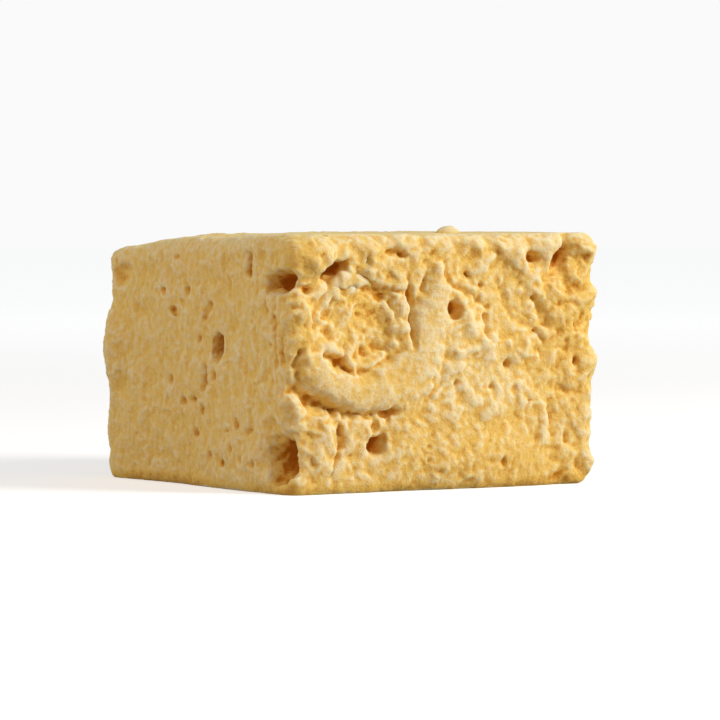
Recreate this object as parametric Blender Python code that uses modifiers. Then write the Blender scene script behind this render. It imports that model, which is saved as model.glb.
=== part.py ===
"""A hand-cut block of honey-yellow marshmallow, as a confectioner sells it.

The foam was poured into a tray, left to set and cut into square blocks, so the block has a flat base,
four cut sides, a slightly crowned top and an open foam that shows as crumbs, pores and tears.
It is one piece, so it is one solid. The script works in metres, with +Z up. The block stands on z = 0,
its cut sides face along X and Y, and the origin is under the middle of it.
"""

import math
import random

import bmesh
import bpy
from mathutils import Matrix, Vector, noise

# The cut block. The base is cut level through a block that reaches a little lower.
SIDE = 0.0354
HEIGHT = 0.0247
BELOW_BASE = 0.0007
EDGE_ROUNDING = 0.0015

# How it has settled: the crown of the poured top, and the corner where the block has slumped.
CROWN = 0.0008
SLUMPED_CORNER = 0.0011

# The foam's relief: broad waves, soft clumps, and the smaller torn cells between them.
WAVE_LENGTH = 0.0130
WAVE_DEPTH = 0.0007
CLUMP_SIZE = 0.0042
CLUMP_DEPTH = 0.0006
CELL_SIZE = 0.0022
CELL_DEPTH = 0.0008
MIDDLE_CELL_DISTANCE = 0.45

# How rough the relief is on the smooth sides, and on the hook. The front is up to 1, in patches.
SIDE_ROUGHNESS = 0.45
HOOK_ROUGHNESS = 0.2
PATCH_SIZE = 0.009
LEAST_PATCH = 0.4

# How finely the block is worked, and how many triangles it keeps.
WORKING_GRID = 0.0004
KEPT_TRIANGLES = 11000

# Each face as (its lower corner nearest the shown edge, the way across, the way up, the way out).
HALF = SIDE / 2
FACES = {
    "front": (Vector((-HALF, -HALF, 0)), Vector((1, 0, 0)), Vector((0, 0, 1)), Vector((0, -1, 0))),
    "left": (Vector((-HALF, -HALF, 0)), Vector((0, 1, 0)), Vector((0, 0, 1)), Vector((-1, 0, 0))),
    "right": (Vector((HALF, -HALF, 0)), Vector((0, 1, 0)), Vector((0, 0, 1)), Vector((1, 0, 0))),
    "back": (Vector((-HALF, HALF, 0)), Vector((1, 0, 0)), Vector((0, 0, 1)), Vector((0, 1, 0))),
    "top": (Vector((-HALF, -HALF, HEIGHT)), Vector((1, 0, 0)), Vector((0, 1, 0)), Vector((0, 0, 1))),
}

# The hooked fold that the knife dragged over the front: an arc, then a straight stem up to the tip.
HOOK_CENTRE = (0.0077, 0.0175)
HOOK_RADIUS = 0.0076
HOOK_ARC_DEG = (-148, -10)
HOOK_ARC_POINTS = 10
HOOK_TIP = (0.0165, 0.0226)
HOOK_HALF_START = 0.0008
HOOK_HALF_BASE = 0.0021
HOOK_HALF_STEM = 0.0015
HOOK_HALF_TIP = 0.0008
HOOK_RISE = 0.0010

# The narrow tears that follow the hook: (radius about its centre, from, to).
TEARS_DEG = [(0.0055, -60, 8), (0.0109, -136, -66)]
TEAR_HALF = 0.0008
TEAR_POINTS = 6

# Below, a shape set against a face is (face, across, up, out, (half width, half height, half depth), roll).

# Hollows torn out of the cut sides, which the lumps then overhang.
HOLLOWS = [
    # The torn hollow inside the hook.
    ("front", 0.0084, 0.0174, 0.0006, (0.0058, 0.0054, 0.0023), -20),
    # The deep tear below the corner lump, and the shadowed pits on its left side and at the foot of the edge.
    ("front", 0.0046, 0.0217, 0.0000, (0.0025, 0.0010, 0.0022), 26),
    ("left", 0.0030, 0.0202, 0.0003, (0.0019, 0.0015, 0.0019), -20),
    ("left", 0.0013, 0.0034, 0.0006, (0.0013, 0.0022, 0.0018), 12),
]

# Lumps of foam that stand proud of the block.
LUMPS = [
    # The overhanging lump on the shown upper corner.
    ("front", 0.0021, 0.0229, -0.0021, (0.0026, 0.0021, 0.0025), 6),
    # The crumbled rim along the top of the front.
    ("front", 0.0088, 0.0237, -0.0010, (0.0024, 0.0013, 0.0014), 10),
    ("front", 0.0105, 0.0225, -0.0008, (0.0011, 0.0014, 0.0012), 25),
    ("front", 0.0134, 0.0233, -0.0009, (0.0018, 0.0015, 0.0014), -15),
    ("front", 0.0190, 0.0237, -0.0011, (0.0032, 0.0012, 0.0014), 4),
    ("front", 0.0248, 0.0237, -0.0011, (0.0024, 0.0013, 0.0015), -8),
    # The slanting fold below the upper right corner.
    ("front", 0.0266, 0.0218, -0.0009, (0.0026, 0.0009, 0.0014), -38),
    ("front", 0.0292, 0.0189, -0.0010, (0.0009, 0.0023, 0.0014), 12),
    # The lip of the upper right corner, and the knobs below it along the far edge of the front.
    ("front", 0.0332, 0.0230, -0.0018, (0.0028, 0.0017, 0.0025), -6),
    ("right", 0.0013, 0.0196, -0.0014, (0.0016, 0.0022, 0.0016), 0),
    ("right", 0.0011, 0.0162, -0.0013, (0.0013, 0.0013, 0.0014), 0),
    ("right", 0.0012, 0.0128, -0.0014, (0.0015, 0.0019, 0.0016), 0),
    ("right", 0.0014, 0.0034, -0.0014, (0.0017, 0.0023, 0.0016), 0),
    # The bulge half way up the far edge of the left side.
    ("left", 0.0325, 0.0138, -0.0021, (0.0034, 0.0050, 0.0025), 0),
    # The crumbly foot of the shown edge, and the front's broad low swelling.
    ("front", 0.0026, 0.0052, -0.0013, (0.0021, 0.0028, 0.0019), 20),
    ("front", 0.0200, 0.0032, -0.0018, (0.0120, 0.0034, 0.0023), 2),
    # The shoulder of foam right of the hook.
    ("front", 0.0210, 0.0152, -0.0020, (0.0040, 0.0026, 0.0026), -30),
    # One bead of foam on the top.
    ("top", 0.0190, 0.0110, -0.0002, (0.0012, 0.0010, 0.0009), 0),
]

# Pores, cut through whatever is there.
PORES = [
    # Of the front.
    ("front", 0.0184, 0.0181, 0.0000, (0.0007, 0.0008, 0.0013), -20),
    ("front", 0.0087, 0.0047, 0.0003, (0.0011, 0.0009, 0.0017), 15),
    ("front", 0.0277, 0.0231, 0.0001, (0.0008, 0.0009, 0.0010), 0),
    ("front", 0.0311, 0.0222, 0.0003, (0.0014, 0.0013, 0.0015), 0),
    ("front", 0.0047, 0.0135, 0.0002, (0.0008, 0.0006, 0.0012), 40),
    ("front", 0.0243, 0.0143, 0.0003, (0.0007, 0.0007, 0.0009), 0),
    # Of the left side.
    ("left", 0.0149, 0.0140, 0.0001, (0.0011, 0.0014, 0.0017), 14),
    ("left", 0.0170, 0.0178, 0.0001, (0.0006, 0.0010, 0.0010), 10),
    ("left", 0.0242, 0.0199, 0.0001, (0.0007, 0.0006, 0.0009), 0),
    ("left", 0.0229, 0.0107, 0.0001, (0.0007, 0.0008, 0.0010), 0),
    ("left", 0.0182, 0.0054, 0.0001, (0.0007, 0.0007, 0.0010), 0),
    ("left", 0.0213, 0.0231, 0.0001, (0.0007, 0.0006, 0.0008), 0),
    ("left", 0.0073, 0.0224, 0.0002, (0.0007, 0.0016, 0.0011), 0),
    ("left", 0.0330, 0.0213, 0.0003, (0.0018, 0.0014, 0.0010), 0),
    ("left", 0.0092, 0.0032, 0.0001, (0.0006, 0.0007, 0.0008), 0),
]

# Pores of the other sides, at random but apart, with each side's own seed.
FREE_PORE_SEEDS = {"right": 11, "back": 23, "top": 5}
FREE_PORES_EACH = 10
SMALLEST_PORE = 0.00045
LARGEST_PORE = 0.0012
PORE_MARGIN = 0.0025
PORE_SPACING = 0.0035

# How uneven the lumps and pores are, over their radius, and the size of the unevenness.
BLOB_UNEVENNESS = 0.22
BLOB_UNEVENNESS_SIZE = 0.7


def clear_scene():
    for obj in list(bpy.data.objects):
        bpy.data.objects.remove(obj)


def new_collection(name):
    collection = bpy.data.collections.new(name)
    bpy.context.scene.collection.children.link(collection)
    return collection


def as_helper(obj, collection):
    """Puts an object that only shapes the block into its collection."""
    for holder in list(obj.users_collection):
        holder.objects.unlink(obj)
    collection.objects.link(obj)
    obj.hide_render = True
    obj.display_type = "WIRE"


def face_point(face, across, up, out):
    corner, across_way, up_way, out_way = FACES[face]
    return corner + across_way * across + up_way * up + out_way * out


def face_turn(face, roll):
    """The turn that takes X, Y and Z to the face's ways across, up and out, rolled in its plane."""
    _, across_way, up_way, out_way = FACES[face]
    turn = Matrix((across_way, up_way, out_way)).transposed().to_4x4()
    return turn @ Matrix.Rotation(math.radians(roll), 4, "Z")


def blob(name, collection, face, across, up, out, radii, roll):
    """An uneven ellipsoid, set against a face."""
    bpy.ops.mesh.primitive_ico_sphere_add(subdivisions=3, radius=1)
    obj = bpy.context.active_object
    obj.name = name
    its_own = Vector((across, up, out)) / min(radii)
    for vertex in obj.data.vertices:
        vertex.co *= 1 + BLOB_UNEVENNESS * noise.noise(vertex.co / BLOB_UNEVENNESS_SIZE + its_own)
    placed = Matrix.Translation(face_point(face, across, up, out)) @ face_turn(face, roll)
    obj.data.transform(placed @ Matrix.Diagonal((*radii, 1)))
    as_helper(obj, collection)


def weld_caps(mesh):
    work = bmesh.new()
    work.from_mesh(mesh)
    bmesh.ops.remove_doubles(work, verts=work.verts, dist=0.00001)
    bmesh.ops.recalc_face_normals(work, faces=work.faces)
    work.to_mesh(mesh)
    work.free()


def strand(name, collection, route):
    """A tube along (across, up, half thickness, out) places of the front, as a closed mesh."""
    data = bpy.data.curves.new(name, "CURVE")
    data.dimensions = "3D"
    data.resolution_u = 3
    data.bevel_depth = 1.0
    data.bevel_resolution = 3
    data.use_fill_caps = True
    spline = data.splines.new("NURBS")
    spline.points.add(len(route) - 1)
    for point, (across, up, half, out) in zip(spline.points, route):
        point.co = (*face_point("front", across, up, out), 1)
        point.radius = half
    spline.use_endpoint_u = True
    curve = bpy.data.objects.new(name + "_curve", data)
    bpy.context.scene.collection.objects.link(curve)
    evaluated = curve.evaluated_get(bpy.context.evaluated_depsgraph_get())
    mesh = bpy.data.meshes.new_from_object(evaluated)
    weld_caps(mesh)
    tube = bpy.data.objects.new(name, mesh)
    tube.matrix_world = curve.matrix_world
    bpy.context.scene.collection.objects.link(tube)
    bpy.data.objects.remove(curve)
    as_helper(tube, collection)


def about_hook(radius, degrees):
    angle = math.radians(degrees)
    return HOOK_CENTRE[0] + radius * math.cos(angle), HOOK_CENTRE[1] + radius * math.sin(angle)


def hook_route():
    """The hook's (across, up, half thickness) from its thin start, round its broad base, to the tip."""
    first, last = HOOK_ARC_DEG
    route = []
    for number in range(HOOK_ARC_POINTS):
        along = number / (HOOK_ARC_POINTS - 1)
        ends = HOOK_HALF_START + (HOOK_HALF_STEM - HOOK_HALF_START) * along
        half = ends + (HOOK_HALF_BASE - ends) * math.sin(math.pi * along)
        route.append((*about_hook(HOOK_RADIUS, first + (last - first) * along), half))
    across, up, _ = route[-1]
    for along, half in ((0.4, HOOK_HALF_STEM), (0.75, HOOK_HALF_STEM), (1, HOOK_HALF_TIP)):
        route.append((across + (HOOK_TIP[0] - across) * along, up + (HOOK_TIP[1] - up) * along, half))
    return route


def tear_route(radius, first, last):
    turns = [first + (last - first) * number / (TEAR_POINTS - 1) for number in range(TEAR_POINTS)]
    return [(*about_hook(radius, degrees), TEAR_HALF, 0) for degrees in turns]


def free_pores(face, seed):
    draw = random.Random(seed)
    tall = SIDE if face == "top" else HEIGHT
    found = []
    while len(found) < FREE_PORES_EACH:
        across = draw.uniform(PORE_MARGIN, SIDE - PORE_MARGIN)
        up = draw.uniform(PORE_MARGIN, tall - PORE_MARGIN)
        if any(math.hypot(across - pore[1], up - pore[2]) < PORE_SPACING for pore in found):
            continue
        radius = SMALLEST_PORE + (LARGEST_PORE - SMALLEST_PORE) * draw.random() ** 2
        radii = (radius, radius * draw.uniform(0.8, 1.4), radius * 1.2)
        found.append((face, across, up, radius * 0.1, radii, draw.uniform(-40, 40)))
    return found


def shaping_collections():
    """The helpers in the order that they shape the block, as (operation, collection) pairs."""
    hollows = new_collection("hollows")
    for number, hollow in enumerate(HOLLOWS):
        blob(f"hollow_{number:02d}", hollows, *hollow)
    for number, tear in enumerate(TEARS_DEG):
        strand(f"tear_{number}", hollows, tear_route(*tear))
    lumps = new_collection("lumps")
    for number, lump in enumerate(LUMPS):
        blob(f"lump_{number:02d}", lumps, *lump)
    strand("hook", lumps, [(across, up, half, HOOK_RISE - half) for across, up, half in hook_route()])
    pores = new_collection("pores")
    every_pore = PORES + [pore for face, seed in FREE_PORE_SEEDS.items() for pore in free_pores(face, seed)]
    for number, pore in enumerate(every_pore):
        blob(f"pore_{number:02d}", pores, *pore)
    return [("DIFFERENCE", hollows), ("UNION", lumps), ("DIFFERENCE", pores)]


def cut_block():
    """The block's mesh with its hollows, lumps and pores, on an even working grid."""
    tall = HEIGHT + BELOW_BASE
    bpy.ops.mesh.primitive_cube_add(size=1)
    block = bpy.context.active_object
    placed = Matrix.Translation((0, 0, HEIGHT - tall / 2)) @ Matrix.Diagonal((SIDE, SIDE, tall, 1))
    block.data.transform(placed)
    rounding = block.modifiers.new("rounding", "BEVEL")
    rounding.width = EDGE_ROUNDING
    rounding.segments = 3
    shaping = shaping_collections()
    for operation, collection in shaping:
        boolean = block.modifiers.new(collection.name, "BOOLEAN")
        boolean.operation = operation
        boolean.operand_type = "COLLECTION"
        boolean.collection = collection
    grid = block.modifiers.new("working grid", "REMESH")
    grid.mode = "VOXEL"
    grid.voxel_size = WORKING_GRID
    soften = block.modifiers.new("soften", "SMOOTH")
    soften.factor = 0.5
    soften.iterations = 1
    mesh = bpy.data.meshes.new_from_object(block.evaluated_get(bpy.context.evaluated_depsgraph_get()))
    for _, collection in shaping:
        for helper in list(collection.objects):
            bpy.data.objects.remove(helper)
        bpy.data.collections.remove(collection)
    bpy.data.objects.remove(block)
    return mesh


def roughness(place, facing, hook):
    """How strong the foam's relief is here, from 0 to 1."""
    front = max(0.0, -facing.y)
    patches = 0.5 + 0.5 * noise.noise(place / PATCH_SIZE)
    rough = SIDE_ROUGHNESS + (1 - SIDE_ROUGHNESS) * front * (LEAST_PATCH + (1 - LEAST_PATCH) * patches)
    if place.y > -HALF + EDGE_ROUNDING:
        return rough
    across, up = place.x + HALF, place.z
    from_hook = min(math.hypot(across - x, up - z) / half for x, z, half in hook)
    off_hook = min(1.0, max(0.0, 1.6 * (from_hook - 0.75)))
    return HOOK_ROUGHNESS + (rough - HOOK_ROUGHNESS) * off_hook


def relief(place):
    """How far the fully rough foam stands out of the smooth cut here, besides the broad waves."""
    clumps = noise.fractal(place / CLUMP_SIZE, 0.9, 2.1, 2)
    cells = MIDDLE_CELL_DISTANCE - noise.voronoi(place / CELL_SIZE)[0][0]
    return CLUMP_DEPTH * clumps + CELL_DEPTH * cells


def settling(place):
    """How far the crown lifts this place, or the slumped corner lowers it."""
    across, deep = place.x / HALF, place.y / HALF
    raised = max(0.0, place.z / HEIGHT)
    crown = CROWN * (1 - across**2) * (1 - 0.5 * deep**2)
    to_far_left = max(0.0, 0.5 - 0.5 * across) * max(0.0, 0.5 + 0.5 * deep)
    return raised * (crown - SLUMPED_CORNER * to_far_left**2)


def weather(mesh):
    """Moves each point of the worked mesh by the foam's relief and by how the block has settled."""
    hook = hook_route()
    moved = []
    for vertex in mesh.vertices:
        place, facing = vertex.co.copy(), vertex.normal.copy()
        height = WAVE_DEPTH * noise.noise(place / WAVE_LENGTH)
        height += roughness(place, facing, hook) * relief(place)
        moved.append(place + facing * height + Vector((0, 0, settling(place))))
    for vertex, place in zip(mesh.vertices, moved):
        vertex.co = place
    mesh.update()


def under_base(collection):
    """A cube whose top is the level that the block stands on."""
    size = 2 * SIDE
    bpy.ops.mesh.primitive_cube_add(size=size, location=(0, 0, -size / 2))
    cutter = bpy.context.active_object
    cutter.name = "under_base"
    as_helper(cutter, collection)
    return cutter


def centre_over_origin(obj):
    bpy.context.view_layer.update()
    evaluated = obj.evaluated_get(bpy.context.evaluated_depsgraph_get())
    corners = [Vector(corner) for corner in evaluated.bound_box]
    for axis in (0, 1):
        reached = [corner[axis] for corner in corners]
        obj.location[axis] = -(min(reached) + max(reached)) / 2


def honey_marshmallow():
    material = bpy.data.materials.new("honey_marshmallow")
    material.use_nodes = True
    shader = material.node_tree.nodes["Principled BSDF"]
    shader.inputs["Base Color"].default_value = (0.76, 0.50, 0.18, 1)
    shader.inputs["Roughness"].default_value = 0.85
    shader.inputs["Metallic"].default_value = 0.0
    return material


def build_marshmallow():
    parts = new_collection("honey marshmallow block")
    cutters = new_collection("cutters")
    mesh = cut_block()
    weather(mesh)
    mesh.materials.clear()
    mesh.materials.append(honey_marshmallow())
    marshmallow = bpy.data.objects.new("marshmallow", mesh)
    parts.objects.link(marshmallow)

    simpler = marshmallow.modifiers.new("fewer triangles", "DECIMATE")
    simpler.ratio = KEPT_TRIANGLES / sum(len(face.vertices) - 2 for face in mesh.polygons)
    base = marshmallow.modifiers.new("flat base", "BOOLEAN")
    base.operation = "DIFFERENCE"
    base.object = under_base(cutters)
    centre_over_origin(marshmallow)


clear_scene()
build_marshmallow()
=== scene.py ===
import math
import random

import bmesh
import bpy
import numpy as np
from mathutils import Matrix, Vector, noise


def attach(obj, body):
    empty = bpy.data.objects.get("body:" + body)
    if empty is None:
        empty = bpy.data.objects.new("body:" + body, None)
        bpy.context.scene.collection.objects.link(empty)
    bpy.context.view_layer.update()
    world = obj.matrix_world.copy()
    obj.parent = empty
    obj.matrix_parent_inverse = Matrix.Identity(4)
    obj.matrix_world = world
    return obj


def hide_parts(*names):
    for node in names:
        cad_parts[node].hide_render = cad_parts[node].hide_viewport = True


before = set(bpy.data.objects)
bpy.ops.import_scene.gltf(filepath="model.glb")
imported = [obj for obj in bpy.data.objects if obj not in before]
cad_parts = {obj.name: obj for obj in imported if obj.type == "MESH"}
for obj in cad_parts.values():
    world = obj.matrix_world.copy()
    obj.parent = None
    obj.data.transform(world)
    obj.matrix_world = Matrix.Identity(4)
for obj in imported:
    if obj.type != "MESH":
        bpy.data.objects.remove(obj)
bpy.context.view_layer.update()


# The block of marshmallow. It is sugar and gelatine beaten to a foam, poured into a tray, left to set
# and cut by hand into squares. The knife stuck to the front, so that side is torn and crumbly and
# carries a hooked fold, and the other cut sides are smoother. It is worked here in millimetres.
MM = 0.001
SIDE = 35.4
HEIGHT = 24.7
BELOW_BASE = 0.4
EDGE_ROUNDING = 1.4
HALF = SIDE / 2
BLOCK_PLACE = np.array((-0.05, 0.119, 0.0))
WORKING_GRID = 0.17
KEPT_TRIANGLES = 194000

# Each face as its lower corner nearest the shown edge, and the ways across, up and out of it.
FACES = {
    "front": ((-HALF, -HALF, 0), (1, 0, 0), (0, 0, 1), (0, -1, 0)),
    "left": ((-HALF, -HALF, 0), (0, 1, 0), (0, 0, 1), (-1, 0, 0)),
    "right": ((HALF, -HALF, 0), (0, 1, 0), (0, 0, 1), (1, 0, 0)),
    "back": ((-HALF, HALF, 0), (1, 0, 0), (0, 0, 1), (0, 1, 0)),
    "top": ((-HALF, -HALF, HEIGHT), (1, 0, 0), (0, 1, 0), (0, 0, 1)),
}


def on_face(face, places):
    """Places as how far they are across, up and out of a face."""
    corner, across, up, out = FACES[face]
    return (places - np.array(corner)) @ np.array((across, up, out), float).T


def even_grid(mesh, grid):
    """The mesh covered again with small even squares, so that its skin can be worked."""
    worked = bpy.data.objects.new("worked", mesh)
    bpy.context.scene.collection.objects.link(worked)
    cover = worked.modifiers.new("even grid", "REMESH")
    cover.mode = "VOXEL"
    cover.voxel_size = grid * MM
    evened = bpy.data.meshes.new_from_object(worked.evaluated_get(bpy.context.evaluated_depsgraph_get()))
    bpy.data.objects.remove(worked)
    return evened


def places_of(mesh):
    flat = np.empty(len(mesh.vertices) * 3)
    mesh.vertices.foreach_get("co", flat)
    return flat.reshape(-1, 3) / MM


def facing_of(mesh):
    flat = np.empty(len(mesh.vertices) * 3)
    mesh.vertex_normals.foreach_get("vector", flat)
    return flat.reshape(-1, 3)


def move_to(mesh, places):
    mesh.vertices.foreach_set("co", (places * MM).ravel())
    mesh.update()


def neighbours_mean(mesh, values, rounds):
    """Values on the points, each averaged with its neighbours so many times over."""
    ends = np.empty(len(mesh.edges) * 2, np.int32)
    mesh.edges.foreach_get("vertices", ends)
    first, second = ends.reshape(-1, 2).T
    count = len(mesh.vertices)
    degree = np.bincount(first, minlength=count) + np.bincount(second, minlength=count) + 1.0
    values = np.atleast_2d(values.T).copy()
    for _ in range(rounds):
        for row in values:
            near = np.bincount(first, row[second], count) + np.bincount(second, row[first], count)
            row[:] = (row + near) / degree
    return values.T


def even_facing(mesh, rounds):
    """Which way the skin faces at each point, evened out with its neighbours so many times over."""
    facing = neighbours_mean(mesh, facing_of(mesh), rounds)
    facing /= np.linalg.norm(facing, axis=1)[:, None]
    return facing


# The waves run askew to the faces, so that none of them lines up with an edge.
ASKEW = np.array(Matrix.Rotation(0.9, 3, Vector((1, 2, 3))))

# Without a seed, Blender would draw the three waves of a bend anew each time that it starts.
BEND_SEED = 3
noise.seed_set(BEND_SEED)


def waves(places, size):
    """Soft waves of foam of the given size, from about -1 to 1."""
    return np.array([noise.noise(place) for place in (places @ ASKEW / size).tolist()])


def bends(places, far, size):
    """How waves of the given size push each place aside, so that the outlines of shapes run out of true."""
    return far * np.array([noise.noise_vector(place) for place in (places @ ASKEW / size).tolist()])


def smooth(values, low, high):
    along = np.clip((values - low) / (high - low), 0, 1)
    return along * along * (3 - 2 * along)


# How deep under a face the shapes on it reach.
REACH = 3.0


def spot(places, face, across, up, half_width, half_height, reach=REACH, turn=0):
    """How far places are from a spot on a face: 0 at its middle, 1 at its rim."""
    local = on_face(face, places)
    angle = math.radians(turn)
    x, y = local[:, 0] - across, local[:, 1] - up
    along = x * math.cos(angle) + y * math.sin(angle)
    aside = y * math.cos(angle) - x * math.sin(angle)
    return np.sqrt((along / half_width) ** 2 + (aside / half_height) ** 2 + (local[:, 2] / reach) ** 2)


def from_route(places, face, route):
    """How far places are from a route over a face, over its half width there."""
    x, y, out = on_face(face, places).T
    nearest = np.full(len(places), np.inf)
    for start, end in zip(route, route[1:]):
        step_x, step_y = end[0] - start[0], end[1] - start[1]
        along = ((x - start[0]) * step_x + (y - start[1]) * step_y) / (step_x**2 + step_y**2)
        along = np.clip(along, 0, 1)
        half = start[2] + (end[2] - start[2]) * along
        away = np.hypot(x - start[0] - along * step_x, y - start[1] - along * step_y)
        nearest = np.minimum(nearest, np.sqrt((away / half) ** 2 + (out / REACH) ** 2))
    return nearest


# How gently each kind of shape runs out at its rim.
SOFTNESS = {"hollow": 1.2, "lump": 1.5, "fold": 1.2, "hook": 0.7, "groove": 1.5, "bead": 0.5}


def dome(distance, kind):
    """The rounded top of a kind of shape: 1 in its middle, and 0 from its rim on."""
    return np.clip(1 - distance**2, 0, 1) ** SOFTNESS[kind]


# Where a hole's soft rim starts and where its bottom does, over its half size.
WELL_RIM = 1.2
WELL_BOTTOM = 0.35


def well(distance):
    """A hole with a rounded bottom and a soft rim: 1 in its middle, and 0 a little outside its rim."""
    return smooth(-distance, -WELL_RIM, -WELL_BOTTOM)


# The smooth hooked fold, as across, up and half width: a broad arc from a leaf-like start, then a straight
# stem up to the tip.
HOOK_ROUTE = [
    (1.6, 13.2, 0.8),
    (2.6, 12.0, 1.6),
    (3.9, 10.9, 2.0),
    (5.5, 10.0, 2.0),
    (7.5, 9.5, 1.8),
    (9.6, 9.7, 1.8),
    (11.8, 10.5, 2.0),
    (13.9, 12.0, 2.2),
    (15.3, 14.2, 2.0),
    (15.9, 16.5, 1.9),
    (16.6, 19.2, 1.3),
    (17.0, 21.0, 0.8),
    (17.2, 21.6, 0.6),
]
HOOK_RISE = 0.75

# Lumps that stand proud: face, across, up, half width, half height, rise, turn.
LUMPS = [
    ("front", 2.3, 22.4, 3.5, 2.3, 1.3, 10),
    ("front", 2.2, 21.5, 0.9, 0.8, 0.5, 0),
    ("front", 4.0, 22.9, 1.3, 1.5, 0.3, 30),
    ("front", 8.4, 24.0, 1.5, 0.9, 0.3, 0),
    ("front", 9.6, 23.0, 1.0, 1.3, 0.45, 15),
    ("front", 13.0, 24.0, 1.7, 1.0, 0.35, -8),
    ("front", 16.4, 24.1, 1.6, 0.9, 0.35, 0),
    ("front", 20.6, 23.9, 2.4, 1.1, 0.3, 4),
    ("front", 24.4, 23.7, 1.7, 1.1, 0.3, -12),
    ("front", 29.0, 23.7, 1.3, 1.4, 0.35, 0),
    ("front", 34.4, 23.2, 2.4, 1.7, 0.7, -10),
    ("front", 33.2, 20.6, 1.7, 1.4, 0.5, 10),
    ("front", 30.7, 19.3, 1.5, 1.3, 0.45, -20),
    ("front", 31.5, 16.6, 1.9, 1.4, 0.45, 15),
    ("front", 33.4, 14.6, 1.5, 1.5, 0.4, 0),
    ("front", 3.6, 4.9, 1.5, 3.2, 0.6, -16),
    ("front", 20.0, 3.2, 12.0, 3.4, 0.5, 2),
    ("front", 20.6, 16.2, 1.6, 1.9, 0.55, 8),
    ("front", 22.9, 13.6, 2.0, 1.7, 0.45, -25),
    ("front", 19.4, 12.4, 1.9, 1.3, 0.35, 10),
    ("front", 26.6, 13.4, 2.2, 1.6, 0.4, 0),
    ("front", 23.4, 8.2, 2.6, 2.4, 0.35, 20),
    ("front", 7.9, 16.4, 3.2, 3.0, 0.3, 10),
    ("front", 18.8, 17.0, 2.6, 5.0, 0.35, 0),
    ("front", 13.5, 9.2, 3.2, 2.0, 0.35, 10),
    ("right", 1.0, 18.4, 1.5, 1.5, 0.6, 0),
    ("right", 1.0, 16.3, 1.2, 1.0, 0.35, 0),
    ("right", 1.0, 12.2, 1.6, 1.8, 0.65, 0),
    ("right", 1.0, 2.3, 1.8, 1.8, 0.6, 0),
    ("left", 34.0, 14.0, 4.0, 5.0, 0.95, 0),
    ("left", 0.3, 17.0, 1.0, 1.9, 0.4, 0),
    ("left", 0.4, 11.8, 0.9, 2.2, 0.35, 0),
    ("left", 1.0, 8.6, 1.3, 2.0, 0.35, 0),
]

# Raised folds: face, rise, and a route of across, up, half width.
FOLDS = [
    ("front", 0.5, [(24.4, 23.6, 0.9), (25.8, 22.4, 1.3), (27.9, 20.5, 1.3), (29.0, 18.9, 0.9)]),
    ("front", 0.25, [(26.3, 9.9, 0.6), (26.5, 7.9, 0.7)]),
    ("front", 0.3, [(29.4, 7.9, 0.6), (29.2, 4.3, 0.8)]),
    ("front", 0.45, [(9.9, 7.8, 0.25), (9.9, 5.9, 0.35)]),
    ("front", 0.3, [(19.0, 13.2, 0.5), (22.3, 14.3, 0.7), (25.4, 14.0, 0.4)]),
    ("left", 0.35, [(0.2, 8.9, 0.6), (0.3, 12.0, 0.45), (0.1, 16.0, 0.6), (0.3, 19.2, 0.5)]),
]

# Broad hollows: face, across, up, half width, half height, depth, turn.
HOLLOWS = [
    ("front", 8.2, 16.9, 5.6, 5.6, 1.1, -15),
    ("left", 2.2, 4.2, 3.8, 3.4, 0.9, 12),
    ("front", 31.4, 22.6, 1.3, 1.9, 1.2, -25),
    ("front", 31.3, 0.8, 1.9, 1.3, 0.4, 0),
    ("front", 29.4, 16.0, 1.2, 1.0, 0.4, 0),
    ("left", 32.2, 21.8, 2.2, 1.4, 0.8, 0),
    ("left", 28.4, 17.5, 1.3, 1.2, 0.4, 0),
]

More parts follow.
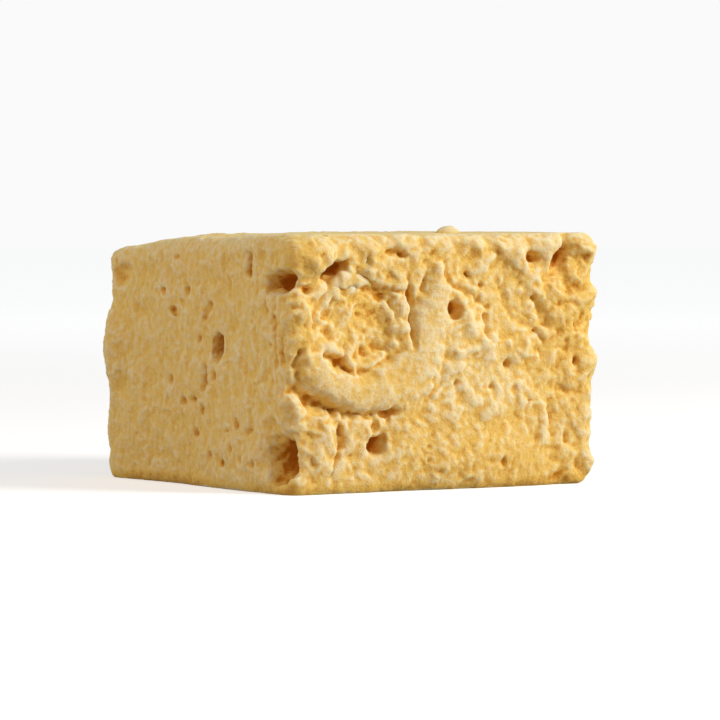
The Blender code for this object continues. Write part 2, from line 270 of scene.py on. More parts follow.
# Pits and pores, the dark tear under the corner lump and the crack along the hook's stem. They go straight
# in: face, across, up, half width, half height, depth, turn.
PORES = [
    ("left", 2.2, 20.2, 2.6, 1.2, 3.4, -10),
    ("left", 2.0, 3.4, 2.2, 2.4, 3.4, 12),
    ("front", 5.0, 21.3, 1.95, 0.85, 2.6, 25),
    ("front", 13.75, 17.1, 0.42, 3.6, 1.3, 2),
    ("front", 18.8, 17.4, 0.85, 0.9, 1.9, -20),
    ("front", 9.7, 4.4, 1.15, 1.0, 2.0, 15),
    ("front", 10.3, 5.2, 0.6, 0.55, 1.1, 0),
    ("front", 27.9, 22.3, 0.95, 0.95, 1.1, 0),
    ("front", 8.9, 22.2, 0.45, 0.75, 0.9, 0),
    ("front", 1.7, 19.5, 0.5, 0.45, 0.5, 0),
    ("front", 1.0, 17.9, 0.45, 0.5, 0.45, 0),
    ("front", 13.0, 22.6, 0.6, 0.3, 0.6, 0),
    ("front", 4.9, 24.5, 0.4, 0.35, 0.6, 0),
    ("front", 20.4, 20.6, 0.55, 0.35, 0.7, -20),
    ("front", 21.8, 19.7, 0.4, 0.28, 0.5, -30),
    ("front", 6.6, 3.6, 0.4, 0.35, 0.5, 0),
    ("front", 15.5, 2.9, 0.35, 0.3, 0.4, 0),
    ("front", 15.6, 4.2, 0.3, 0.35, 0.4, 0),
    ("front", 28.5, 15.2, 0.45, 0.35, 0.55, 0),
    ("front", 25.0, 12.0, 0.4, 0.55, 0.65, 0),
    ("front", 33.1, 12.2, 0.45, 0.6, 0.6, 0),
    ("front", 22.9, 9.9, 0.35, 0.28, 0.55, 0),
    ("front", 18.7, 10.2, 0.28, 0.45, 0.55, 0),
    ("front", 32.1, 4.6, 0.4, 0.7, 0.6, 0),
    ("front", 27.6, 8.4, 0.35, 0.3, 0.4, 0),
    ("front", 24.2, 2.6, 0.4, 0.6, 0.5, 0),
    ("left", 13.7, 13.8, 1.1, 1.4, 3.0, 4),
    ("left", 7.6, 22.8, 0.6, 0.6, 0.8, 0),
    ("left", 7.8, 21.3, 0.7, 0.7, 0.9, 0),
    ("left", 21.0, 23.0, 0.7, 0.35, 0.5, 0),
    ("left", 23.8, 19.6, 0.55, 0.4, 0.6, 0),
    ("left", 19.3, 19.5, 0.45, 0.45, 0.6, 0),
    ("left", 22.1, 17.6, 0.7, 0.4, 0.7, 30),
    ("left", 20.2, 18.3, 0.7, 0.35, 0.5, 40),
    ("left", 17.1, 14.7, 0.35, 0.5, 0.5, 0),
    ("left", 22.6, 10.5, 0.65, 0.5, 0.8, 0),
    ("left", 14.4, 11.0, 0.5, 0.6, 0.7, 0),
    ("left", 20.2, 8.4, 0.7, 0.5, 0.7, 20),
    ("left", 18.4, 8.6, 0.55, 0.35, 0.6, 0),
    ("left", 16.6, 7.5, 0.35, 0.5, 0.6, 0),
    ("left", 17.8, 5.3, 0.5, 0.5, 0.7, 0),
    ("left", 9.9, 6.5, 0.35, 0.6, 0.7, 0),
    ("left", 11.5, 5.7, 0.4, 0.35, 0.6, 0),
    ("left", 14.8, 3.2, 0.5, 0.5, 0.7, 0),
    ("left", 12.4, 2.5, 0.5, 0.4, 0.6, 0),
    ("left", 8.9, 3.0, 0.45, 0.4, 0.6, 0),
    ("left", 6.7, 2.8, 0.45, 0.5, 0.6, 0),
    ("left", 7.1, 5.9, 0.35, 0.35, 0.5, 0),
    ("left", 10.6, 3.9, 0.35, 0.4, 0.5, 0),
]

# Cracks and grooves: face, depth, and a route of across, up, half width.
GROOVES = [
    ("front", 0.5, [(4.6, 20.3, 0.5), (4.2, 19.4, 0.45), (3.5, 18.4, 0.35), (2.6, 17.4, 0.3)]),
    ("front", 0.6, [(2.8, 15.9, 0.3), (4.1, 17.2, 0.4), (4.8, 18.4, 0.3)]),
    ("front", 0.35, [(7.6, 20.9, 0.25), (9.0, 20.6, 0.3), (10.1, 19.4, 0.3), (13.0, 19.0, 0.25)]),
    ("front", 0.35, [(5.2, 19.7, 0.2), (9.0, 19.5, 0.25), (11.5, 18.0, 0.25), (12.3, 16.6, 0.2)]),
    ("front", 0.4, [(15.8, 21.2, 0.3), (14.8, 19.2, 0.3)]),
    ("front", 0.6, [(11.2, 22.8, 0.35), (13.1, 22.7, 0.3)]),
    ("front", 1.1, [(3.9, 13.2, 0.5), (5.7, 12.2, 0.8), (6.8, 11.6, 0.4)]),
    ("front", 1.0, [(0.9, 13.6, 0.5), (0.9, 12.3, 0.8), (0.8, 10.8, 0.7)]),
    ("front", 1.2, [(0.6, 10.0, 0.6), (2.0, 9.1, 1.0), (3.7, 8.3, 0.8), (5.2, 7.8, 0.5)]),
    ("front", 0.7, [(5.2, 7.8, 0.5), (7.2, 7.5, 0.45), (9.4, 7.6, 0.45), (11.9, 7.8, 0.3)]),
    ("front", 0.3, [(7.8, 11.5, 0.2), (9.5, 11.9, 0.25), (10.8, 12.5, 0.25), (13.0, 13.8, 0.25)]),
    ("front", 0.5, [(9.7, 7.4, 0.3), (9.6, 6.0, 0.35)]),
    ("front", 0.5, [(11.0, 8.0, 0.35), (11.1, 6.9, 0.3)]),
    ("front", 0.6, [(5.8, 6.3, 0.3), (5.8, 4.6, 0.35), (5.2, 3.2, 0.3), (4.2, 1.6, 0.25)]),
    ("front", 0.8, [(30.2, 20.7, 0.6), (30.9, 22.1, 0.9), (31.8, 23.4, 0.7)]),
    ("front", 0.5, [(32.0, 22.3, 0.5), (34.0, 22.3, 0.4)]),
    ("front", 0.6, [(28.3, 18.4, 0.35), (29.2, 16.9, 0.6)]),
    ("front", 0.5, [(17.6, 21.8, 0.35), (18.0, 20.3, 0.3)]),
    ("front", 0.4, [(17.8, 20.0, 0.3), (19.4, 19.3, 0.3), (21.0, 18.7, 0.35), (23.0, 17.7, 0.3)]),
    ("front", 0.45, [(22.6, 17.1, 0.3), (22.7, 14.7, 0.4)]),
    ("front", 0.4, [(30.2, 8.2, 0.45), (30.3, 5.0, 0.5)]),
    ("front", 0.3, [(17.6, 13.2, 0.35), (17.0, 10.8, 0.4), (15.4, 8.6, 0.35)]),
    ("front", 0.3, [(25.7, 16.5, 0.35), (27.6, 15.8, 0.35), (29.3, 14.0, 0.3)]),
    ("front", 0.3, [(23.6, 20.2, 0.35), (25.0, 18.3, 0.4), (25.4, 16.9, 0.3)]),
    ("left", 0.6, [(15.2, 18.2, 0.35), (16.1, 16.8, 0.5)]),
    ("left", 0.6, [(16.0, 11.8, 0.4), (16.4, 9.6, 0.45)]),
    ("left", 0.5, [(7.6, 22.9, 0.4), (7.7, 21.2, 0.45)]),
    ("left", 0.4, [(2.6, 17.0, 0.3), (2.3, 14.2, 0.35), (2.5, 12.2, 0.25)]),
    ("left", 0.4, [(1.3, 14.8, 0.25), (1.2, 12.6, 0.35)]),
    ("left", 0.3, [(4.3, 18.6, 0.3), (4.0, 16.6, 0.3)]),
    ("left", 0.3, [(11.6, 20.4, 0.3), (11.4, 18.8, 0.3)]),
]

# Small pores at random, on each side but the front: seed, how many, smallest and largest half width, and
# how much they crowd towards the edge that the side shares with the front.
FREE_PORES = {
    "left": (31, 40, 0.16, 0.28, 1.5),
    "right": (11, 70, 0.18, 0.6, 1),
    "back": (23, 60, 0.22, 0.75, 1),
    "top": (5, 40, 0.18, 0.5, 1),
}
FREE_PORE_MARGIN = 1
FREE_PORE_STRETCH = 2.0
FREE_PORE_DEPTH = 1.3
FREE_PORE_TURN = 20
FREE_PORE_REACH = 1.5
LARGE_ONES_RARE = 3


def free_pores(face, seed, count, smallest, largest, crowding):
    """Random pores of a face, each as across, up, half width, half height, depth and turn."""
    draw = random.Random(seed)
    tall = SIDE if face == "top" else HEIGHT
    found = []
    for _ in range(count):
        across = SIDE * draw.random() ** crowding
        up = FREE_PORE_MARGIN + (tall - 2 * FREE_PORE_MARGIN) * draw.random()
        half = smallest + (largest - smallest) * draw.random() ** LARGE_ONES_RARE
        half_height = half * draw.uniform(1.0, FREE_PORE_STRETCH)
        turn = draw.uniform(-FREE_PORE_TURN, FREE_PORE_TURN)
        found.append((across, up, half, half_height, half * FREE_PORE_DEPTH, turn))
    return found


def plain_block():
    """The block as cut, with rounded edges and nothing else, reaching a little below its base."""
    tall = HEIGHT + BELOW_BASE
    work = bmesh.new()
    full_size = Matrix.Diagonal((SIDE * MM, SIDE * MM, tall * MM, 1))
    placed = Matrix.Translation((0, 0, (HEIGHT - tall / 2) * MM)) @ full_size
    bmesh.ops.create_cube(work, size=1, matrix=placed)
    rounding = EDGE_ROUNDING * MM
    bmesh.ops.bevel(work, geom=work.edges, offset=rounding, segments=4, profile=0.5, affect="EDGES")
    mesh = bpy.data.meshes.new("plain block")
    work.to_mesh(mesh)
    work.free()
    return even_grid(mesh, WORKING_GRID)


# How waves push the shapes' outlines out of true, as how far and of what size. A groove follows half of
# the push, and a pore a small share of it, with a fine push of its own.
BROAD_PUSH = (0.55, 2.6)
FINE_PUSH = (0.30, 1.0)
PORE_PUSH = (0.08, 0.45)
PORE_SHARE = 0.15

# The slow swing of the cut sides, how much of it the hook covers, and how near a groove's rim is taken
# to be, so that the groove runs out beyond its half width.
SIDE_SWING = 0.5
SIDE_SWING_SIZE = 13
HOOK_COVERS = 0.6
GROOVE_NEARNESS = 0.8

# How much the skin around a pit has to face its side: from here on a little, and from here on fully.
PIT_FACING = (0.25, 0.9)


def carve(mesh):
    """Moves the plain block's skin in and out by the hook, lumps, folds, hollows, pores and grooves."""
    true_places = places_of(mesh)
    facing = even_facing(mesh, 3)
    places = true_places + bends(true_places, *BROAD_PUSH) + bends(true_places, *FINE_PUSH)
    rise = SIDE_SWING * waves(true_places, SIDE_SWING_SIZE)
    for face, *where, depth, turn in HOLLOWS:
        rise -= depth * dome(spot(places, face, *where, turn=turn), "hollow")
    for face, *where, high, turn in LUMPS:
        rise += high * dome(spot(places, face, *where, turn=turn), "lump")
    for face, high, route in FOLDS:
        rise += high * dome(from_route(places, face, route), "fold")
    hook_body = dome(from_route(places, "front", HOOK_ROUTE), "hook")
    rise = rise * (1 - HOOK_COVERS * hook_body) + HOOK_RISE * hook_body
    half_bent = (true_places + places) / 2
    for face, depth, route in GROOVES:
        rise -= depth * dome(from_route(half_bent, face, route) * GROOVE_NEARNESS, "groove")
    moved = facing * rise[:, None]
    near_places = true_places + PORE_SHARE * (places - true_places) + bends(true_places, *PORE_PUSH)
    broad_facing = neighbours_mean(mesh, facing, 12)
    for face, *where, depth, turn in PORES:
        inward = -np.array(FACES[face][3])
        sunk = depth * well(spot(near_places, face, *where, turn=turn))
        moved += np.outer(sunk * smooth(-broad_facing @ inward, *PIT_FACING), inward)
    for face, drawn in FREE_PORES.items():
        inward = -np.array(FACES[face][3])
        for *where, depth, turn in free_pores(face, *drawn):
            sunk = depth * well(spot(near_places, face, *where, FREE_PORE_REACH, turn))
            moved += np.outer(sunk, inward)
    move_to(mesh, true_places + moved)


CREASED_LEVEL = 0.4


def creased(places, size):
    """Round-topped crumbs of the given size with creases between them, about 0 on the whole."""
    away = np.array([noise.voronoi(place)[0][0] for place in (places @ ASKEW / size).tolist()])
    return CREASED_LEVEL - np.minimum(away, 1) ** 2


def ledges(heights, step):
    """Heights drawn together into flat ledges, with a short slope from each to the next."""
    number = np.floor(heights / step)
    return (number + smooth(heights / step - number, 0.3, 0.7)) * step


# How far the foam stands out in each kind of skin: swells and clods, which tear in ledges, then clumps,
# crumbs and grains, and upright pleats and fine streaks. Each size is drawn apart from the others.
SWELL_SIZE = 3.4
CLOD_SIZE = 1.8
CLUMP_SIZE = 1.15
CRUMB_SIZE = 0.66
GRAIN_SIZE = 0.42
PLEAT_SIZE = 1.0
STREAK_SIZE = 0.5
LEDGE_STEP = 0.26
LEDGE_SHARE = 0.25
CREASED_SHARE = 0.5
APART = 13
UPRIGHT = np.array((1.0, 1.0, 0.3))
RELIEF = {
    "torn front": (0.26, 0.25, 0.23, 0.17, 0.08, 0.00, 0.00),
    "plateau": (0.20, 0.16, 0.12, 0.13, 0.09, 0.00, 0.00),
    "in the hook": (0.38, 0.44, 0.28, 0.22, 0.12, 0.00, 0.00),
    "hook": (0.20, 0.16, 0.06, 0.09, 0.07, 0.00, 0.00),
    "lump": (0.16, 0.18, 0.12, 0.14, 0.10, 0.00, 0.00),
    "pleated": (0.24, 0.18, 0.12, 0.13, 0.09, 0.08, 0.05),
    "knobbly": (0.42, 0.34, 0.22, 0.16, 0.10, 0.00, 0.00),
    "coarse": (0.26, 0.32, 0.26, 0.18, 0.09, 0.00, 0.00),
    "left": (0.20, 0.20, 0.08, 0.11, 0.07, 0.10, 0.07),
    "left by the edge": (0.22, 0.26, 0.16, 0.18, 0.09, 0.20, 0.12),
    "right": (0.26, 0.22, 0.12, 0.13, 0.08, 0.08, 0.06),
    "back": (0.34, 0.26, 0.16, 0.15, 0.09, 0.04, 0.03),
    "top": (0.18, 0.12, 0.07, 0.09, 0.06, 0.00, 0.00),
}

# Where the front as a whole and its kinds of skin lie: across, up, half width, half height, reach, and
# how far from the middle, over the half sizes, it starts and is full.
PATCHES = {
    "whole front": (17.7, 12.4, 17.0, 12.0, 3.0, 1.05, 0.95),
    "pleated": (26.0, 4.6, 9.5, 5.4, 4.0, 1.1, 0.6),
    "knobbly": (33.0, 19.5, 5.5, 7.5, 4.0, 1.1, 0.6),
    "coarse": (1.5, 4.5, 5.0, 5.5, 5.0, 1.1, 0.6),
    "in the hook": (8.0, 16.8, 5.8, 5.8, 5.0, 1.05, 0.85),
    "lump": (2.0, 22.6, 3.6, 2.4, 4.0, 1.0, 0.75),
}

# Other bounds of the kinds of skin, each as where it starts and where it is full: how far across a side,
# how high up, how far from the hook's line over its half width, and how high a wave.
SIDE_SKIN = 4
TOP_SKIN = 3
FACING_SHARE = (0.2, 0.85)
LEFT_BY_EDGE = (12, 1)
FRONT_BY_EDGE = (3.2, 1.4)
UNDER_LUMP = (21.5, 19.5)
OFF_HOOK = (0.8, 1.15)
PLATEAU_WAVE = (0.02, 0.30)
PLATEAU_SIZE = 4.5
PLATEAU_APART = 5

# The relief is calmer deep in the pits, and by the base.
DEEP = (1.6, 2.5)
DEEP_CALM = 0.75
BY_BASE = (1.6, 0.3)
BASE_CALM = 0.5
BROAD_SKIN_PUSH = (0.6, 2.4)
FINE_SKIN_PUSH = (0.22, 0.8)


def patch(places, kind):
    """How much of a kind of skin there is at places of the front."""
    *where, starts, full = PATCHES[kind]
    return smooth(spot(places, "front", *where), starts, full)


def crumble(mesh):
    """Works the foam's crumbs, pleats and streaks into the carved skin, each face and patch in its way."""
    places = places_of(mesh)
    facing = even_facing(mesh, 2)
    bent = places + bends(places, *BROAD_SKIN_PUSH) + bends(places, *FINE_SKIN_PUSH)
    off_hook = smooth(from_route(bent, "front", HOOK_ROUTE), *OFF_HOOK)
    outward = {
        "front": (-facing[:, 1], places[:, 1] < SIDE_SKIN - HALF),
        "left": (-facing[:, 0], places[:, 0] < SIDE_SKIN - HALF),
        "right": (facing[:, 0], places[:, 0] > HALF - SIDE_SKIN),
        "top": (facing[:, 2], places[:, 2] > HEIGHT - TOP_SKIN),
    }
    share = {face: smooth(turned, *FACING_SHARE) * near for face, (turned, near) in outward.items()}
    share["front"] = np.maximum(share["front"], patch(places, "whole front"))
    amounts = np.zeros((len(places), len(RELIEF["top"])))

    def lay(kind, mask):
        amounts[:] += (np.array(RELIEF[kind]) - amounts) * mask[:, None]

    lay("back", np.ones(len(places)))
    lay("right", share["right"])
    lay("top", share["top"])
    lay("left", share["left"])
    lay("left by the edge", share["left"] * smooth(on_face("left", bent)[:, 0], *LEFT_BY_EDGE))
    lay("torn front", share["front"])
    lay("plateau", share["front"] * smooth(waves(bent + PLATEAU_APART, PLATEAU_SIZE), *PLATEAU_WAVE))
    lay("pleated", share["front"] * patch(bent, "pleated"))
    lay("knobbly", share["front"] * patch(bent, "knobbly"))
    lay("coarse", patch(bent, "coarse"))
    by_edge = smooth(on_face("front", bent)[:, 0], *FRONT_BY_EDGE) * smooth(bent[:, 2], *UNDER_LUMP)
    lay("coarse", share["front"] * by_edge)
    lay("in the hook", share["front"] * patch(bent, "in the hook"))
    lay("hook", share["front"] * (1 - off_hook))
    lay("lump", patch(bent, "lump"))
    depth = -np.max([on_face(face, places)[:, 2] for face in FACES], axis=0)
    amounts *= (1 - DEEP_CALM * smooth(depth, *DEEP))[:, None]
    amounts *= (1 - BASE_CALM * smooth(places[:, 2], *BY_BASE))[:, None]
    swell, clod, clump, crumb, grain, pleat, streak = amounts.T
    body = swell * waves(bent, SWELL_SIZE) + clod * waves(bent + APART, CLOD_SIZE)
    rise = (1 - LEDGE_SHARE) * body + LEDGE_SHARE * ledges(body, LEDGE_STEP)
    clumps = CREASED_SHARE * creased(bent + 2 * APART, CLUMP_SIZE) + waves(bent + 4 * APART, CLUMP_SIZE)
    rise += clump * clumps
    rise += crumb * waves(bent + 3 * APART, CRUMB_SIZE)
    rise += grain * creased(places, GRAIN_SIZE)
    rise += pleat * creased(bent * UPRIGHT, PLEAT_SIZE) + streak * waves(places * UPRIGHT, STREAK_SIZE)
    move_to(mesh, places + facing * rise[:, None])


# How the block has settled: how much the poured top is crowned, how far its far left corner has slumped,
# the bead on it as across, deep and half sizes, and by how much what stands over it is pressed down.
CROWN = 0.3
SLUMPED_CORNER = 1.6
BEAD = (22.3, 6.5, 1.3, 1.2)
BEAD_RISE = 0.7
BEAD_FROM = HEIGHT - 1
TOP_SLACK = 0.1
TOP_PRESSED = 0.8


def settle(mesh):
    """Crowns the top, lowers the slumped corner, and levels the base that the block stands on."""
    places = places_of(mesh)
    across, deep = places[:, 0] / HALF, places[:, 1] / HALF
    raised = np.clip(places[:, 2] / HEIGHT, 0, None)
    crown = CROWN * (1 - across**2) * (1 - 0.5 * deep**2)
    to_far_left = np.clip(0.5 - 0.5 * across, 0, None) * np.clip(0.5 + 0.5 * deep, 0, None)
    places[:, 2] += raised * (crown - SLUMPED_CORNER * to_far_left**2)
    bead = dome(spot(places, "top", *BEAD), "bead") * smooth(places[:, 2], BEAD_FROM, HEIGHT)
    places[:, 2] += BEAD_RISE * bead
    over = np.clip(places[:, 2] - HEIGHT - TOP_SLACK, 0, None)
    places[:, 2] -= over * TOP_PRESSED * (1 - bead)
    places[:, 2] = np.maximum(places[:, 2], 0)
    move_to(mesh, places + BLOCK_PLACE)


def fewer_triangles(mesh, kept):
    """Thins the mesh out to so many triangles, and levels the base that the block stands on."""
    worked = bpy.data.objects.new("worked", mesh)
    bpy.context.scene.collection.objects.link(worked)
    simpler = worked.modifiers.new("fewer triangles", "DECIMATE")
    simpler.ratio = kept / sum(len(face.vertices) - 2 for face in mesh.polygons)
    simpler.use_collapse_triangulate = True
    made = bpy.data.meshes.new_from_object(worked.evaluated_get(bpy.context.evaluated_depsgraph_get()))
    bpy.data.objects.remove(worked)
    places = places_of(made)
    places[:, 2] = np.maximum(places[:, 2], 0)
    move_to(made, places)
    return made


def note(mesh, name, values):
    """Keeps a value for each point of the mesh, which the material reads by name."""
    kept = mesh.attributes.new(name, "FLOAT", "POINT")
    kept.data.foreach_set("value", values.astype(np.float32))


# Painted shade at the base: there the colour is as deep as in a hollow of so many millimetres, from so high
# up and fully at the second height.
BASE_SHADE_DEPTH = 1.6
BASE_SHADE_UP_TO = (2.6, 0.2)

# A crest pales the colour only up to here, and the smoother left side takes less painted shade in its fine
# hollows.
MOST_CREST = -0.12
LEFT_FAINTER = 0.55
FACING_LEFT = (0.4, 0.8)

# Where sugar dust makes the foam paler, with a positive amount, and where painted shade makes it more
# golden, with a negative one, as over the corner lump and along the base: face, across, up, half width,
# half height, how much.
DUST_AND_SHADE_SPOTS = [
    ("front", 20.0, 11.5, 7.0, 6.5, 0.28),
    ("front", 16.2, 17.5, 2.2, 4.5, 0.06),
    ("front", 33.0, 16.0, 4.5, 10.0, -0.30),
    ("front", 23.0, 2.0, 14.0, 3.0, -0.16),
    ("front", 1.2, 15.5, 2.2, 5.0, -0.28),
    ("front", 9.5, 22.6, 4.0, 2.0, -0.18),
    ("front", 1.5, 22.6, 3.0, 2.6, -0.40),
]
DUST_AND_SHADE_RIM = (1.2, 0.3)


def note_hollows(mesh):
    """Notes how hollow the skin is, finely and broadly, how deep it lies under the cut with painted shade
    at its base, and its dust and spots of painted shade.
    """
    places = places_of(mesh)
    facing = facing_of(mesh)
    near = neighbours_mean(mesh, places, 3)
    middling = neighbours_mean(mesh, near, 7)
    wide = neighbours_mean(mesh, middling, 20)
    calm = 1 - LEFT_FAINTER * smooth(-facing[:, 0], *FACING_LEFT)
    note(mesh, "fine_hollow", ((near - places) * facing).sum(1) * calm)
    note(mesh, "middling_hollow", np.maximum(((middling - places) * facing).sum(1), MOST_CREST) * calm)
    note(mesh, "broad_hollow", np.maximum(((wide - places) * facing).sum(1), MOST_CREST))
    # How deep the skin lies under the cut, with painted shade at the base added to it as if the skin lay
    # deeper there.
    outs = [on_face(face, places - BLOCK_PLACE)[:, 2] for face in FACES]
    by_base = smooth(places[:, 2], *BASE_SHADE_UP_TO)
    note(mesh, "sunk", -np.max(outs, axis=0) + BASE_SHADE_DEPTH * by_base)
    dust_and_shade = np.zeros(len(places))
    for face, *where, amount in DUST_AND_SHADE_SPOTS:
        dust_and_shade += amount * smooth(spot(places, face, *where), *DUST_AND_SHADE_RIM)
    note(mesh, "dust_and_shade", dust_and_shade)


class Shade:
    """A socket of a material. A sum on it adds Math nodes, and node() adds any other kind of node."""

    def __init__(self, tree, socket=None):
        self.tree = tree
        self.socket = socket

    def node(self, kind, settings=None, inputs=None, output=0):
        made = self.tree.nodes.new(kind)
        for name, value in (settings or {}).items():
            setattr(made, name, value)
        for name, value in (inputs or {}).items():
            if isinstance(value, Shade):
                self.tree.links.new(value.socket, made.inputs[name])
            else:
                made.inputs[name].default_value = value
        return Shade(self.tree, made.outputs[output])

    def math(self, operation, *values):
        return self.node("ShaderNodeMath", {"operation": operation}, dict(enumerate(values)))

    def __add__(self, other):
        return self.math("ADD", self, other)

    def __radd__(self, other):
        return self.math("ADD", other, self)

    def __sub__(self, other):
        return self.math("SUBTRACT", self, other)

    def __rsub__(self, other):
        return self.math("SUBTRACT", other, self)

    def __mul__(self, other):
        return self.math("MULTIPLY", self, other)

    def __rmul__(self, other):
        return self.math("MULTIPLY", other, self)

    def between(self, low, high):
        """0 up to low, 1 from high on, and a smooth step between them."""
        inputs = {"Value": self, "From Min": low, "From Max": high}
        return self.node("ShaderNodeMapRange", {"interpolation_type": "SMOOTHSTEP"}, inputs)

    def mixed(self, first, second):
        """The first colour where this is 0, and the second where it is 1."""
        settings = {"data_type": "RGBA", "clamp_factor": True}
        return self.node("ShaderNodeMix", settings, {"Factor": self, 6: first, 7: second}, 2)


# The foam's colours, and how hollow it is where each starts and is full. Honey is the foam's own colour;
# the pale of the crests is part sugar dust and part painted light, and the amber in hollows, creases and
# deep tears is painted shade.
PALE_FOAM = (0.91, 0.755, 0.47, 1)
HONEY_FOAM = (0.89, 0.585, 0.15, 1)
AMBER_SHADE = (0.64, 0.25, 0.010, 1)
PALE_TO_HONEY = (-0.75, 0.25)
HONEY_TO_AMBER = (0.15, 1.3)
# How deep under the cut, or how near the base, the painted shade turns the colour further towards amber:
# where that starts and where it is full.
SHADED_DEPTH = (0.7, 1.9)

# The sizes of the clouds in its colour and of its powdery grain, and the depth of that grain.
PATCH_CLOUD = 7.0
SPECK_CLOUD = 0.8
POWDER_GRAIN = 0.22
POWDER_CLUMP = 0.5
POWDER_DEPTH = 0.12
POWDER_LEVEL = 0.75


def foam_material(name):
    """Matte, powdery foam: pale on its tops, part dust and part painted light, honey-coloured between, and
    amber in its hollows and deep tears as painted shade.
    """
    material = bpy.data.materials.new(name)
    material.use_nodes = True
    tree = material.node_tree
    shader = tree.nodes["Principled BSDF"]
    make = Shade(tree)
    where = make.node("ShaderNodeTexCoord", output=3)

    def noted(attribute):
        return make.node("ShaderNodeAttribute", {"attribute_name": attribute}, output=2)

    def cloud(size, detail=3.0):
        inputs = {"Vector": where, "Scale": 1 / (size * MM), "Detail": detail}
        return make.node("ShaderNodeTexNoise", None, inputs)

    specks = cloud(SPECK_CLOUD) - 0.5
    patches = cloud(PATCH_CLOUD) - 0.5
    grain = cloud(POWDER_GRAIN, 2.0)
    height = grain * 0.5 + cloud(POWDER_CLUMP)
    # Painted shade: the colour runs from pale through honey to amber the more hollow the skin is, the
    # deeper it lies under the cut or the nearer the base, and in the low spots of the powdery grain. The
    # dust spots lighten it, the spots of painted shade deepen it, and the specks and patches are random
    # tone.
    hollow = noted("fine_hollow") * 1.7 + noted("middling_hollow") * 2.4 + noted("broad_hollow") * 0.6
    hollow = hollow + noted("sunk").between(*SHADED_DEPTH) * 0.8 - noted("dust_and_shade")
    hollow = hollow + specks * 0.25 + patches * 0.3 + (POWDER_LEVEL - height) * 1.3
    colour = hollow.between(*PALE_TO_HONEY).mixed(PALE_FOAM, HONEY_FOAM)
    colour = hollow.between(*HONEY_TO_AMBER).mixed(colour, AMBER_SHADE)
    tree.links.new(colour.socket, shader.inputs["Base Color"])
    roughness = 0.98 - grain * 0.25
    tree.links.new(roughness.socket, shader.inputs["Roughness"])
    inputs = {"Height": height, "Strength": 1.0, "Distance": POWDER_DEPTH * MM}
    bump = make.node("ShaderNodeBump", None, inputs)
    tree.links.new(bump.socket, shader.inputs["Normal"])
    shader.inputs["Specular IOR Level"].default_value = 0.12
    shader.inputs["Subsurface Weight"].default_value = 1.0
    shader.inputs["Subsurface Radius"].default_value = (1.0, 0.85, 0.35)
    shader.inputs["Subsurface Scale"].default_value = 0.55 * MM
    shader.inputs["Sheen Weight"].default_value = 0.05
    shader.inputs["Sheen Roughness"].default_value = 0.6
    shader.inputs["Sheen Tint"].default_value = (1.0, 0.86, 0.6, 1)
    return material


honey_foam = foam_material("honey_foam")
block_mesh = plain_block()
carve(block_mesh)
block_mesh = even_grid(block_mesh, WORKING_GRID)
crumble(block_mesh)
settle(block_mesh)
block_mesh = fewer_triangles(block_mesh, KEPT_TRIANGLES)
note_hollows(block_mesh)
block_mesh.materials.clear()
block_mesh.materials.append(honey_foam)
block_mesh.polygons.foreach_set("use_smooth", [True] * len(block_mesh.polygons))
block = bpy.data.objects.new("foam_block", block_mesh)
bpy.context.scene.collection.objects.link(block)
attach(block, "root")
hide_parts("marshmallow")


# The stage: a plain pale floor and an even white surround, which only the camera sees, over a plain
# table top that the light bounces from. The floor glows a little, so the block's shadow on it is soft.
STAGE_RADIUS = 2.0
TABLE_DROP = 0.05
FLOOR_GLOW_NEAR = 0.48
FLOOR_GLOW_FAR = 0.70
GLOW_CHANGES = (0.03, 0.6)
SURROUND_SEEN = (0.955, 0.955, 0.955, 1)
DIM_LIGHT = (0.95, 0.97, 1.0, 1)
DIM_STRENGTH = 0.30


def stage_piece(name, shape, drop, colour, seen):
    """A disc or ball of the stage, which either only the camera sees or only the light does."""
    work = bmesh.new()
    if shape == "disc":
        bmesh.ops.create_circle(work, cap_ends=True, segments=96, radius=STAGE_RADIUS)
    else:
        bmesh.ops.create_uvsphere(work, u_segments=48, v_segments=24, radius=STAGE_RADIUS)
    mesh = bpy.data.meshes.new(name)
    work.to_mesh(mesh)
    work.free()
    material = bpy.data.materials.new(name)
    material.use_nodes = True
    shader = material.node_tree.nodes["Principled BSDF"]
    shader.inputs["Base Color"].default_value = colour
    shader.inputs["Roughness"].default_value = 0.9
    shader.inputs["Specular IOR Level"].default_value = 0.0
    mesh.materials.append(material)
    piece = bpy.data.objects.new(name, mesh)
    bpy.context.scene.collection.objects.link(piece)
    piece.location.z = -drop * MM
    piece.visible_camera = seen
    for kind in ("diffuse", "glossy", "transmission", "volume_scatter", "shadow"):
        setattr(piece, f"visible_{kind}", not seen)
    return material.node_tree, shader


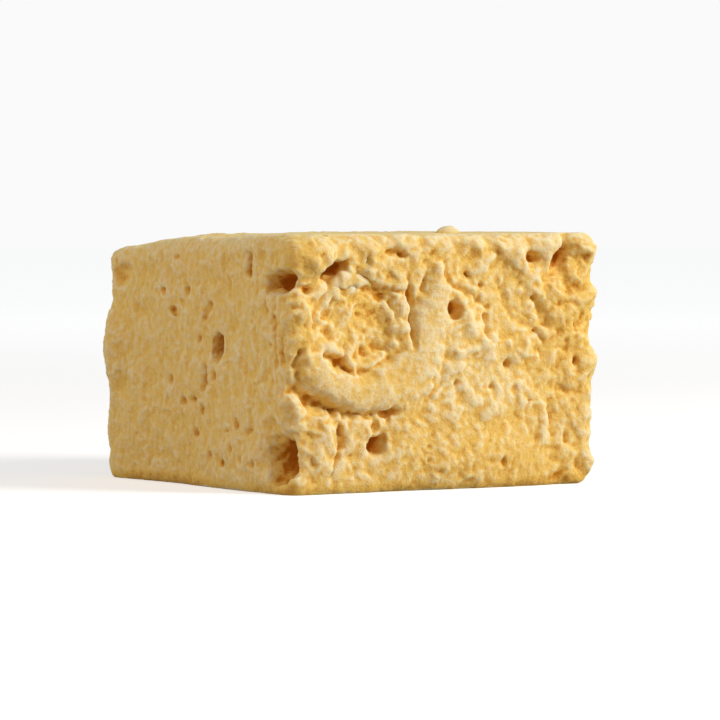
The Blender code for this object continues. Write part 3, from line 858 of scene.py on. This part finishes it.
floor_tree, floor_shader = stage_piece("floor", "disc", 0.0, (0.85, 0.85, 0.84, 1), True)
make = Shade(floor_tree)
on_floor = make.node("ShaderNodeTexCoord", output=3)
from_middle = make.node("ShaderNodeVectorMath", {"operation": "LENGTH"}, {0: on_floor}, 1)
near_glow, far_glow = ((glow, glow, glow, 1) for glow in (FLOOR_GLOW_NEAR, FLOOR_GLOW_FAR))
glow = from_middle.between(*GLOW_CHANGES).mixed(near_glow, far_glow)
floor_tree.links.new(glow.socket, floor_shader.inputs["Emission Color"])
floor_shader.inputs["Emission Strength"].default_value = 1.0
_, surround_shader = stage_piece("surround", "ball", 0.0, (0, 0, 0, 1), True)
surround_shader.inputs["Emission Color"].default_value = SURROUND_SEEN
surround_shader.inputs["Emission Strength"].default_value = 1.0
stage_piece("table", "disc", TABLE_DROP, (0.45, 0.43, 0.40, 1), False)

room = bpy.data.worlds.new("room")
room.use_nodes = True
room.node_tree.nodes["Background"].inputs["Color"].default_value = DIM_LIGHT
room.node_tree.nodes["Background"].inputs["Strength"].default_value = DIM_STRENGTH
bpy.context.scene.world = room


# The light: one soft lamp high on the right of the front, and a wide weaker one on the left. Both point
# at the middle of the block.
AIMED_AT = Vector((0, 0, 0.012))


def soft_lamp(name, azimuth, elevation, away, size, power, colour):
    data = bpy.data.lights.new(name, "AREA")
    data.shape = "DISK"
    data.size = size
    data.energy = power
    data.color = colour
    lamp = bpy.data.objects.new(name, data)
    bpy.context.scene.collection.objects.link(lamp)
    turned, raised = math.radians(azimuth), math.radians(elevation)
    level = math.cos(raised)
    back = Vector((math.sin(turned) * level, -math.cos(turned) * level, math.sin(raised)))
    lamp.location = AIMED_AT + back * away
    lamp.rotation_euler = back.to_track_quat("Z", "Y").to_euler()
    lamp.visible_camera = False


soft_lamp("key", 34, 28, 0.40, 0.17, 1.26, (1.0, 0.97, 0.92))
soft_lamp("fill", -98, 20, 0.45, 0.22, 0.61, (1.0, 0.86, 0.76))


# The camera: level with the block's top, as far off as the photograph's, and closer cropped.
CAMERA_FROM = (-0.23885, -0.37701, 0.0284)
CAMERA_TURN_DEG = -32.5
CAMERA_DIP_DEG = 2.10
CAMERA_LENS = 223.0
data = bpy.data.cameras.new("camera")
data.lens = CAMERA_LENS
data.sensor_width = 36
data.clip_start = 0.01
camera = bpy.data.objects.new("camera", data)
bpy.context.scene.collection.objects.link(camera)
camera.location = CAMERA_FROM
camera.rotation_euler = (math.radians(90 - CAMERA_DIP_DEG), 0, math.radians(CAMERA_TURN_DEG))
bpy.context.scene.camera = camera
bpy.context.scene.view_settings.view_transform = "Standard"

bpy.context.view_layer.update()
